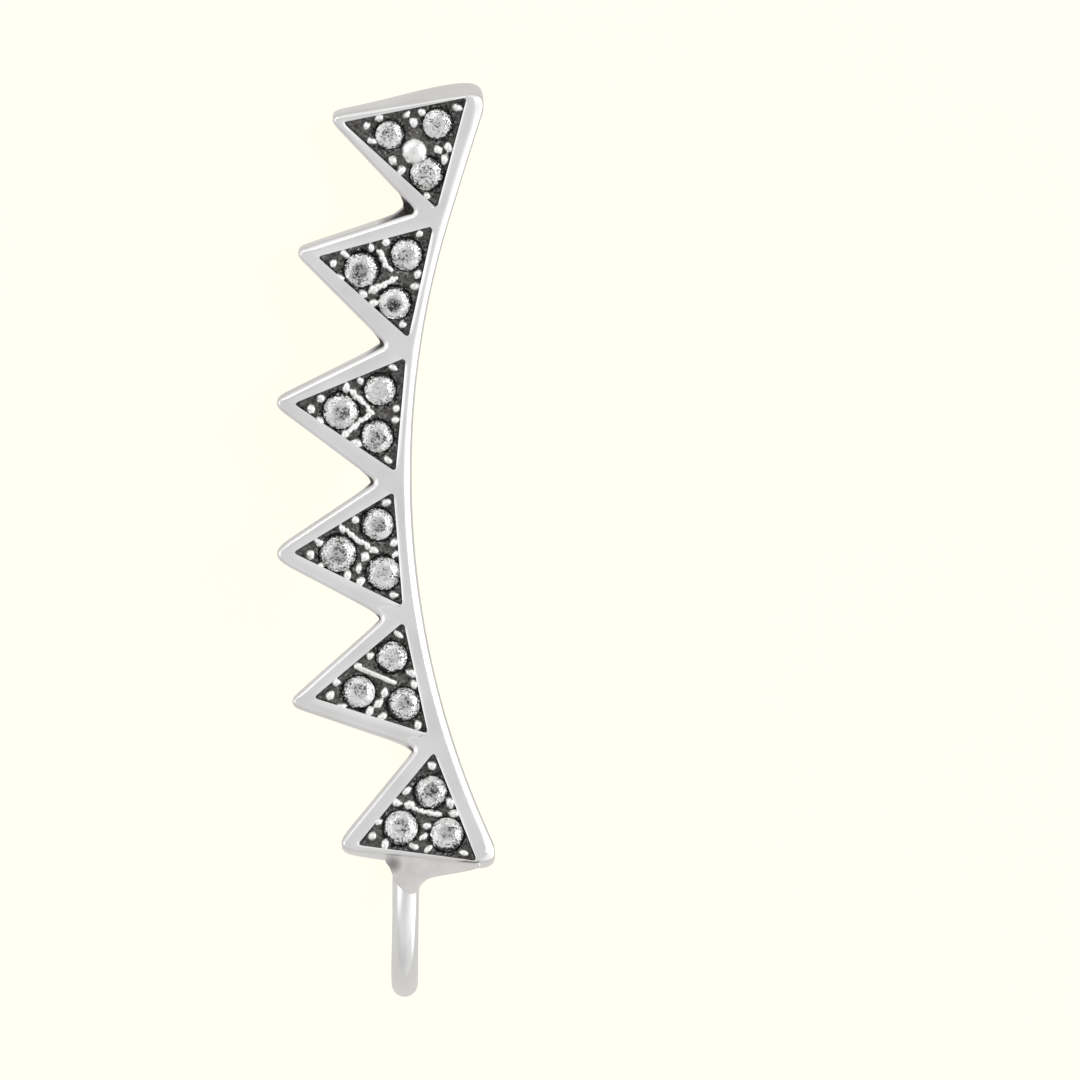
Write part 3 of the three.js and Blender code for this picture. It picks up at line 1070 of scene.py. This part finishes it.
def clearStone():
    # painted reflections: white stones with facets of unlike brightness, peppered with dark specks
    # that stand for inclusions and for the dark setting mirrored in them, most of all at the rim
    # and in a grey middle; the pattern is off-centre, so one side of each stone is whiter
    finish, tree, shader, place = newFinish("clearStone")
    onStone = attributeNode(tree, "onStone", "Vector")
    # the painted pattern is set off-centre, so one side of each stone is whiter
    flat = vectorNode(tree, "MULTIPLY_ADD", onStone, (1, 1, 0), (0.10, -0.04, 0), output="Vector")
    out = vectorNode(tree, "LENGTH", flat)
    middle = rampNode(tree, out, [(0.34, 1.0), (0.52, 0.0)])
    grey = mathNode(tree, "MULTIPLY", attributeNode(tree, "greyReflection"), middle)
    often = rampNode(tree, out, [
        (0.0, 0.06), (0.35, 0.04), (0.55, 0.0), (0.80, 0.03), (0.90, 0.08), (1.0, 0.22)])
    often = mathNode(tree, "MULTIPLY_ADD", grey, 0.06, often)
    crowds = mathNode(tree, "MULTIPLY", noiseNode(tree, place, 2.6, 2), 0.5)
    reflectionSpeckField = mathNode(tree, "ADD", noiseNode(tree, place, 15, 3, 0.65), often)
    reflectionSpeckField = mathNode(tree, "ADD", reflectionSpeckField, crowds)
    # dark specks: inclusions, and the dark setting painted in as reflections
    darkReflectionSpecks = rampNode(tree, reflectionSpeckField, [
        (0.77, 1.0), (0.86, (0.72, 0.72, 0.71)), (0.90, 0.22), (0.94, 0.01)])
    # patches of unlike brightness, painted in for the facets' reflections
    facets = addNode(tree, "TexVoronoi", "Color", {"Vector": onStone, "Scale": 3.2})
    body = mixNode(tree, grey,
                   rampNode(tree, facets, [(0.25, (0.80, 0.80, 0.79)), (0.5, 1.0)]),
                   rampNode(tree, facets, [(0.25, 0.28), (0.5, (0.48, 0.48, 0.47))]))
    setInputs(tree, shader, {
        "Base Color": mixNode(tree, 1, body, darkReflectionSpecks, "MULTIPLY"),
        "Metallic": 0.6,   # the facets send most of the light straight back
        "Transmission Weight": 0.5, "IOR": 1.8, "Roughness": 0.02,
        "Normal": bumpNode(tree, noiseNode(tree, place, 12, 2), 0.5, 0.00006)})
    return finish


def tableSurface():
    # a pale table lit from inside, so that it shows hardly any shadow; silver mirrors it as grey
    finish, tree, shader, place = newFinish("paleTable")
    setInputs(tree, shader, {"Roughness": 0.9, "Base Color": rampNode(
        tree, noiseNode(tree, place, 0.05, 3), studio["tableTones"])})
    glow = addNode(tree, "Emission", "Emission", {"Color": studio["tableGlow"]})
    seen = addNode(tree, "AddShader", "Shader", {0: shader.outputs["BSDF"], 1: glow})
    mirrored = addNode(tree, "Emission", "Emission", {"Color": studio["tableMirrored"]})
    direct = addNode(tree, "LightPath", "Is Camera Ray", {})
    both = addNode(tree, "MixShader", "Shader", {"Fac": direct, 1: mirrored, 2: seen})
    setInputs(tree, tree.nodes["Material Output"], {"Surface": both})
    return finish


studio = {
    "table": 3.0, "tableTones": [(0.3, (0.09, 0.09, 0.08)), (0.7, (0.10, 0.10, 0.09))],
    "tableGlow": (0.97, 0.93, 0.80, 1), "tableMirrored": (0.68, 0.67, 0.65, 1),
    # how bright the sky is, by the cosine of the angle from square above the face
    "sky": [(0.0, 0.76), (0.30, 0.85), (0.42, 0.95), (0.70, 0.95), (0.82, 0.86), (0.92, 0.77),
            (0.98, 0.70)],
    # the two bright sides: where each is, in the face's own terms, and what it adds
    "right": (0.99, 0.0, -0.05), "rightGlow": [(0.62, 0.0), (0.84, 0.6), (1.0, 0.8)],
    "left": (-0.86, 0.0, 0.5), "leftGlow": [(0.85, 0.0), (0.96, 0.3), (1.0, 0.35)],
    # the side that is dimmer, and what is left there
    "below": (-0.4, -0.8, 0.35), "belowLeft": [(0.55, 1.0), (0.9, 0.78)],
    # name, direction from the climber in the face's own terms, size, power
    "lamps": [("keyRight", (1.0, 0.25, 0.9), 0.12, 0.5), ("topLeft", (-0.5, 0.9, 1.0), 0.08, 0.12)],
    "lampDistance": 0.5,
    "frameCentre": (-25.97, -2.0), "frameWidth": 33.16, "distance": 0.6, "sensor": 36,
    "nearest": 0.01, "furthest": 10,
}


def faceDirection(direction):
    return (layOnBack.to_3x3() @ Vector(direction)).normalized()


def frameMiddle():
    return layOnBack @ Vector((*studio["frameCentre"], 0))


def makeStudio():
    bpy.ops.mesh.primitive_grid_add(x_subdivisions=8, y_subdivisions=8, size=studio["table"])
    table = newest("table")
    table.data.materials.append(tableSurface())

    world = bpy.data.worlds.new("studio")
    bpy.context.scene.world = world
    world.use_nodes = True
    tree = world.node_tree
    place = addNode(tree, "TexCoord", "Generated", {})

    def towards(direction, stops):
        # a tone by how nearly a direction points the given way
        nearly = vectorNode(tree, "DOT_PRODUCT", place, faceDirection(direction))
        return rampNode(tree, nearly, stops)

    glow = towards((0, 0, 1), studio["sky"])
    for side in ("right", "left"):
        glow = mixNode(tree, 1, glow, towards(studio[side], studio[side + "Glow"]), "ADD")
    glow = mixNode(tree, 1, glow, towards(studio["below"], studio["belowLeft"]), "MULTIPLY")
    setInputs(tree, tree.nodes["Background"], {"Color": glow, "Strength": 1.0})

    for name, direction, size, power in studio["lamps"]:
        light = bpy.data.lights.new(name, "AREA")
        light.size, light.energy = size, power
        lamp = addObject(name, light)
        run = faceDirection(direction)
        lamp.location = frameMiddle() + run * studio["lampDistance"]
        lamp.rotation_euler = run.to_track_quat("Z", "Y").to_euler()


def makeCamera():
    lens = bpy.data.cameras.new("camera")
    lens.sensor_width = studio["sensor"]
    lens.lens = studio["distance"] * 1000 * studio["sensor"] / studio["frameWidth"]
    lens.clip_start, lens.clip_end = studio["nearest"], studio["furthest"]
    camera = addObject("camera", lens)
    turn = layOnBack.to_3x3().normalized()
    away = turn @ Vector((0, 0, 1)) * studio["distance"]
    camera.matrix_world = Matrix.Translation(frameMiddle() + away) @ turn.to_4x4()
    bpy.context.scene.camera = camera
    bpy.context.scene.view_settings.view_transform = "Standard"


def main():
    makeCamera()
    makeStudio()
    print("studio ready")

    makePlate().data.materials.append(polishedSilver())

    for piece, finish in ((makeWire(), wireSilver()), (makeGusset(), solderSilver())):
        piece.data.materials.append(finish)
        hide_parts("climber_frame")
    print("ear wire and its gusset done")

    gem, height = stoneShape()
    dome = grainShape()
    stoneFinish, grainFinish, bedFinish = clearStone(), grainSilver(), darkenedSilver()
    for i in range(len(cells)):
        for piece, finish in ((makeBed(i), bedFinish), (makeGrains(i, dome), grainFinish),
                              (makeStones(i, gem, height), stoneFinish)):
            piece.data.materials.append(finish)
            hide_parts(f"pave_{i + 1}")
        print("cell", i + 1, "paved")
    for shape in (gem, dome):
        bpy.data.objects.remove(shape)


main()
